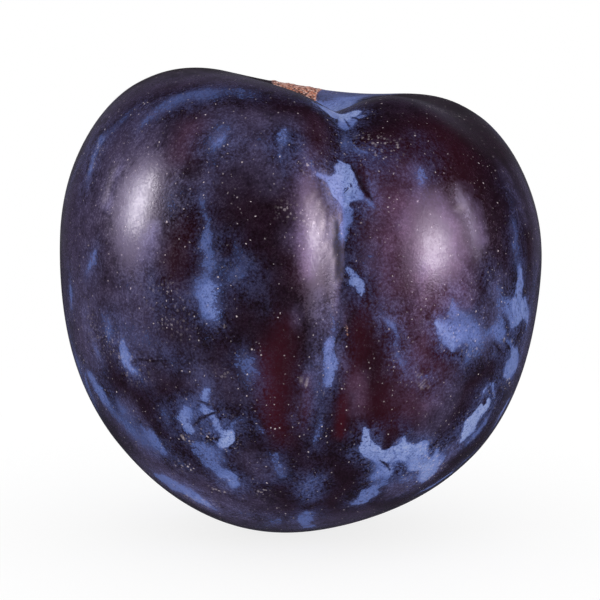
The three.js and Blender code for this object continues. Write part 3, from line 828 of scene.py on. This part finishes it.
shown = {}
for name, (source, broken_by, more, ground) in SHOWN.items():
    strength = add_node(tree, "ShaderNodeMath", TIMES_PLUS, _0=pattern[broken_by], _1=more, _2=ground)
    shown[name] = add_node(tree, "ShaderNodeMath", TIMES, _0=painted[source], _1=strength)

# The wax: where it covers the skin, times how thick it lies.
RAGGED = 3.0  # how far the patterns fray the edges of the wax
PORE_LOSS = 0.35  # the share of its thickness that it loses over a pore
WAX_WHITE_RANGE = (0.5, 1.1)  # thicknesses between which it turns from thin to thick wax

frayed = add_node(tree, "ShaderNodeMath", TIMES, _0=pattern["uneven"], _1=-RAGGED)
frayed = add_node(tree, "ShaderNodeMath", TIMES_PLUS, _0=painted["bloom"], _1=1 + RAGGED, _2=frayed)
cover = add_node(tree, "ShaderNodeMapRange", SMOOTH, Value=frayed)
left = add_node(tree, "ShaderNodeMath", TIMES_PLUS, _0=pattern["pores"], _1=PORE_LOSS, _2=1 - PORE_LOSS)
thickness = add_node(tree, "ShaderNodeMath", TIMES, _0=shown["depth"], _1=left)
wax = add_node(tree, "ShaderNodeMath", TIMES, _0=cover, _1=thickness)
least, most = WAX_WHITE_RANGE
whiteness = add_node(tree, "ShaderNodeMapRange", Value=wax, From_Min=least, From_Max=most)
wax_colour = add_node(
    tree, "ShaderNodeMix", COLOUR_MIX, _0=whiteness, _6=linear(WAX_THIN), _7=linear(WAX_THICK)
)
# the colour of the veil, and of the painted glow round the highlights
veil_and_glow_colour = add_node(
    tree, "ShaderNodeMix", COLOUR_MIX, _0=shown["blush"], _6=linear(VEIL_AND_GLOW_GREY), _7=linear(VEIL_AND_GLOW_WINE)
)

# Pale specks, one at most to each cell of a pattern: the dots through which the skin breathes,
# and flecks of dry skin. Each kind has cells to the millimetre, the least and the greatest
# radius in millimetres, and how few of them are bright.
SPECKS = {
    "dots": (2.0, 0.03, 0.11, 2.2),
    "flecks": (3.0, 0.0, 0.2, 0.8),
}
SPECK_EDGE = 0.05  # millimetres
CROOKED_CELLS = 5.0  # to the millimetre, in the noise that makes the specks' outlines uneven
CROOKED_BY = 0.3  # millimetres
FLECKS_IN_HAZE = 0.3  # how many flecks there are wherever wax lies around

bend = add_node(tree, "ShaderNodeTexNoise", Vector=in_mm, Scale=CROOKED_CELLS)
crooked = add_node(
    tree, "ShaderNodeVectorMath", TIMES_PLUS, _0=bend.outputs["Color"], _1=[CROOKED_BY] * 3, _2=in_mm
)
specks = {}
for name, (cells, least, most, rarity) in SPECKS.items():
    cell = add_node(tree, "ShaderNodeTexVoronoi", Vector=crooked, Scale=cells)
    luck = add_node(tree, "ShaderNodeSeparateColor", Color=cell.outputs["Color"])
    radius = add_node(
        tree, "ShaderNodeMapRange", Value=luck.outputs["Red"], To_Min=least * cells, To_Max=most * cells
    )
    inside = add_node(tree, "ShaderNodeMath", MINUS, _0=radius, _1=cell.outputs["Distance"])
    inside = add_node(tree, "ShaderNodeMapRange", Value=inside, From_Max=SPECK_EDGE * cells)
    bright = add_node(tree, "ShaderNodeMath", POWER, _0=luck.outputs["Green"], _1=rarity)
    specks[name] = add_node(tree, "ShaderNodeMath", TIMES, _0=inside, _1=bright)
gathered = add_node(
    tree, "ShaderNodeMath", TIMES_PLUS, _0=painted["haze"], _1=FLECKS_IN_HAZE, _2=painted["flecks"]
)
flecks = add_node(tree, "ShaderNodeMath", TIMES, _0=specks["flecks"], _1=gathered)

# Cork, dried in crumbs where the stalk tore away: matt, russet to pale, dark in its gaps.
CORK_DARK = "#3a1712"
CORK_RUSSET = "#bd6a45"
CORK_PALE = "#f0c2b4"
CRUMBS_PER_MM = 3.2
GAP_RANGE = (0.35, 0.75)  # from the middle of a crumb, in cells, where it turns into a gap
CORK_CLOSED = 2.0  # how far the cork's edge reaches before its grain breaks it up

crumb = add_node(tree, "ShaderNodeTexVoronoi", Vector=in_mm, Scale=CRUMBS_PER_MM)
luck = add_node(tree, "ShaderNodeSeparateColor", Color=crumb.outputs["Color"])
least, most = GAP_RANGE
gap = add_node(tree, "ShaderNodeMapRange", Value=crumb.outputs["Distance"], From_Min=least, From_Max=most)
crumb_colour = add_node(
    tree, "ShaderNodeMix", COLOUR_MIX, _0=luck.outputs["Red"], _6=linear(CORK_RUSSET), _7=linear(CORK_PALE)
)
cork_colour = add_node(tree, "ShaderNodeMix", COLOUR_MIX, _0=gap, _6=crumb_colour, _7=linear(CORK_DARK))
broken = add_node(tree, "ShaderNodeMath", TIMES, _0=painted["cork"], _1=CORK_CLOSED)
broken = add_node(tree, "ShaderNodeMath", MINUS, _0=broken, _1=pattern["grain"])
cork = add_node(tree, "ShaderNodeMapRange", SMOOTH, Value=broken)

# Each colour is laid over those before it.
TONE_RANGE = (0.2, 0.9)  # values of the calm blend between which bare skin turns plum
# how dark the painted shade in the cracks is
CRACK_SHADE_STRENGTH = 0.8

least, most = TONE_RANGE
tone = add_node(tree, "ShaderNodeMapRange", Value=pattern["calm"], From_Min=least, From_Max=most)
cracks = add_node(tree, "ShaderNodeMath", TIMES, _0=painted["crack_shade"], _1=CRACK_SHADE_STRENGTH)
colour = linear(SKIN_DARK)
for share, over in [
    (tone, linear(SKIN_PLUM)),
    (painted["red"], linear(SKIN_RED)),
    # the veil of wax, and the painted glow round the highlights
    (shown["veil_and_painted_glow"], veil_and_glow_colour),
    (shown["haze"], linear(WAX_THIN)),
    (wax, wax_colour),
    (specks["dots"], linear(PALE_DRY_AND_GLINT)),
    # painted shade in the cracks
    (cracks, linear(SKIN_DARK)),
    (flecks, linear(PALE_DRY_AND_GLINT)),
    # scuffs, and painted highlights in the gloss
    (shown["scuffs_and_glints"], linear(PALE_DRY_AND_GLINT)),
    (cork, cork_colour),
]:
    colour = add_node(tree, "ShaderNodeMix", COLOUR_MIX, _0=share, _6=colour, _7=over)

# The roughness of bare skin, and what handling, wax, cork and dust add to it.
SKIN_ROUGHNESS = 0.14
HANDLED_ROUGHNESS = 0.14
WAX_ROUGHNESS = 0.3
CORK_ROUGHNESS = 0.6
DUST_ROUGHNESS = 0.6

roughness = SKIN_ROUGHNESS
for part, more in [
    (pattern["hazy"], HANDLED_ROUGHNESS),
    (wax, WAX_ROUGHNESS),
    (cork, CORK_ROUGHNESS),
    (painted["dull"], DUST_ROUGHNESS),
]:
    roughness = add_node(tree, "ShaderNodeMath", TIMES_PLUS, _0=part, _1=more, _2=roughness)

# The unevenness that is too fine for the mesh, with the gaps between the crumbs of cork.
RELIEF = 0.012  # the height of the grain, in millimetres
RELIEF_STRENGTH = 0.3  # how much of it the gloss shows
CLOUDS_IN_RELIEF = 0.8  # how high the clouds stand, as a share of the grain's height
GAP_DEPTH = 12.0  # how deep the gaps lie, as the same share

relief = add_node(
    tree, "ShaderNodeMath", TIMES_PLUS, _0=pattern["clouds"], _1=CLOUDS_IN_RELIEF, _2=pattern["grain"]
)
gaps = add_node(tree, "ShaderNodeMath", TIMES, _0=cork, _1=gap)
relief = add_node(tree, "ShaderNodeMath", TIMES_PLUS, _0=gaps, _1=-GAP_DEPTH, _2=relief)
bump = add_node(tree, "ShaderNodeBump", Height=relief, Strength=RELIEF_STRENGTH, Distance=RELIEF * MM)
shader = add_node(
    tree, "ShaderNodeBsdfPrincipled", Base_Color=colour, Roughness=roughness, IOR=SKIN_IOR, Normal=bump
)
add_node(tree, "ShaderNodeOutputMaterial", Surface=shader)
fruit.materials.clear()
fruit.materials.append(skin)

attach(plum, "root")
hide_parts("plum")

# ---------------------------------------------------------------------------
# The studio: a long lens at the height of the fruit, six soft lamps that show only in its
# gloss, and an even white room that lights all the rest.

CAMERA_TARGET = Vector((1.4, 0.0, 26.6)) * MM
CAMERA_DISTANCE = 260.3 * MM
CAMERA_AROUND = 0  # degrees from the -Y side towards +X
CAMERA_UP = 8  # degrees
CAMERA_LENS = 135  # millimetres
CAMERA_SENSOR = 36
CAMERA_NEAREST = 0.01  # metres from the camera where things begin to show


def aimed(data, name, around, up, distance, target):
    """Places a camera or a light round the fruit and points it at a target."""
    holder = bpy.data.objects.new(name, data)
    toward = Vector(way(around, up))
    holder.location = target + toward * distance
    holder.rotation_euler = toward.to_track_quat("Z", "Y").to_euler()
    bpy.context.scene.collection.objects.link(holder)
    return holder


camera_data = bpy.data.cameras.new("camera")
camera_data.lens = CAMERA_LENS
camera_data.sensor_width = CAMERA_SENSOR
camera_data.clip_start = CAMERA_NEAREST
camera = aimed(camera_data, "camera", CAMERA_AROUND, CAMERA_UP, CAMERA_DISTANCE, CAMERA_TARGET)
bpy.context.scene.camera = camera

# Each lamp is an ellipse: its name, degrees round from the -Y side towards +X, degrees up,
# width and height in metres, radiance, and tint.
LAMPS = [
    ("left_wide", -81, 17, 0.32, 0.47, 4.8, "#d8c8f0"),
    ("left_core", -80, 19, 0.12, 0.27, 20, "#f2ecf8"),
    ("right_wide", 51, 13, 0.53, 0.66, 4.4, "#d4bce8"),
    ("right_mid", 52, 12.5, 0.3, 0.39, 6.5, "#dccce8"),
    ("right_core", 51.5, 9, 0.18, 0.22, 14, "#ece2f2"),
    ("right_edge", 82.5, 17, 0.06, 0.36, 14, "#d8c8f0"),
]
LAMP_DISTANCE = 0.6
for name, around, up, width, height, radiance, tint in LAMPS:
    lamp = bpy.data.lights.new(name, "AREA")
    lamp.shape = "ELLIPSE"
    lamp.size = width
    lamp.size_y = height
    area = math.pi * width * height / 4
    lamp.energy = radiance * math.pi * area
    lamp.color = linear(tint)[:3]
    holder = aimed(lamp, name, around, up, LAMP_DISTANCE, Vector(middle))
    holder.visible_diffuse = False
    holder.visible_camera = False

# The room: white to look at, evenly bright for the light it gives, and dim in the gloss of
# the fruit, with a paler wall behind it that lights its outline.
ROOM_WHITE = "#ffffff"
ROOM_LIGHT = 0.85
ROOM_SEEN = 1.0
GLOSS_TINT = "#e8e8ff"
GLOSS_LIGHT = 0.012
WALL_LIGHT = 0.11
WALL_RANGE = (0.65, 1.0)  # cosines of the angle from +Y between which the wall grows paler

world = bpy.data.worlds.new("studio")
bpy.context.scene.world = world
world.use_nodes = True
air = world.node_tree
air.nodes.clear()
ray = add_node(air, "ShaderNodeLightPath")
toward = add_node(air, "ShaderNodeTexCoord")
axes = add_node(air, "ShaderNodeSeparateXYZ", Vector=toward.outputs["Generated"])
least, most = WALL_RANGE
wall = add_node(
    air,
    "ShaderNodeMapRange",
    SMOOTH,
    Value=axes.outputs["Y"],
    From_Min=least,
    From_Max=most,
    To_Min=GLOSS_LIGHT,
    To_Max=WALL_LIGHT,
)
even = add_node(air, "ShaderNodeBackground", Color=linear(ROOM_WHITE), Strength=ROOM_LIGHT)
dim = add_node(air, "ShaderNodeBackground", Color=linear(GLOSS_TINT), Strength=wall)
white = add_node(air, "ShaderNodeBackground", Color=linear(ROOM_WHITE), Strength=ROOM_SEEN)
lit = add_node(air, "ShaderNodeMixShader", _0=ray.outputs["Is Glossy Ray"], _1=even, _2=dim)
room = add_node(air, "ShaderNodeMixShader", _0=ray.outputs["Is Camera Ray"], _1=lit, _2=white)
add_node(air, "ShaderNodeOutputWorld", Surface=room)

# ---------------------------------------------------------------------------
# The floor: a disc of pale matt card that fades into the white of the room, so that only the
# soft shadow under the fruit shows. It lies under the flat spot of the fruit.

FLOOR_RADIUS = 0.3
FLOOR_SIDES = 128
FLOOR_FADE = (0.03, 0.14)  # metres from the middle between which the card fades out
CARD_GREY = "#848484"
CARD_WHITE = "#ffffff"
CARD_GLOW = 0.82  # what it shows besides the light that falls on it
CARD_BOUNCE = 0.8  # what it gives back to the fruit
CARD_IN_GLOSS = "#b0b4d0"
CARD_IN_GLOSS_LIGHT = 0.1  # what the gloss of the fruit shows of it

disc = bmesh.new()
bmesh.ops.create_circle(disc, cap_ends=True, segments=FLOOR_SIDES, radius=FLOOR_RADIUS)
floor_mesh = bpy.data.meshes.new("floor")
disc.to_mesh(floor_mesh)
disc.free()
floor = bpy.data.objects.new("floor", floor_mesh)
bpy.context.scene.collection.objects.link(floor)
card = bpy.data.materials.new("pale_floor")
card.use_nodes = True
ground = card.node_tree
ground.nodes.clear()
place = add_node(ground, "ShaderNodeTexCoord")
reach = add_node(ground, "ShaderNodeVectorMath", {"operation": "LENGTH"}, _0=place.outputs["Object"])
least, most = FLOOR_FADE
fade = add_node(ground, "ShaderNodeMapRange", SMOOTH, Value=reach, From_Min=least, From_Max=most)
paper = add_node(ground, "ShaderNodeBsdfDiffuse", Color=linear(CARD_GREY))
glow = add_node(ground, "ShaderNodeEmission", Color=linear(CARD_WHITE), Strength=CARD_GLOW)
lit = add_node(ground, "ShaderNodeAddShader", _0=paper, _1=glow)
open_air = add_node(ground, "ShaderNodeBsdfTransparent")
seen = add_node(ground, "ShaderNodeMixShader", _0=fade, _1=lit, _2=open_air)
bounce = add_node(ground, "ShaderNodeEmission", Color=linear(CARD_WHITE), Strength=CARD_BOUNCE)
mirrored = add_node(ground, "ShaderNodeEmission", Color=linear(CARD_IN_GLOSS), Strength=CARD_IN_GLOSS_LIGHT)
ray = add_node(ground, "ShaderNodeLightPath")
unseen = add_node(ground, "ShaderNodeMixShader", _0=ray.outputs["Is Glossy Ray"], _1=bounce, _2=mirrored)
both = add_node(ground, "ShaderNodeMixShader", _0=ray.outputs["Is Camera Ray"], _1=unseen, _2=seen)
add_node(ground, "ShaderNodeOutputMaterial", Surface=both)
floor.data.materials.append(card)

bpy.context.scene.view_settings.view_transform = "Standard"
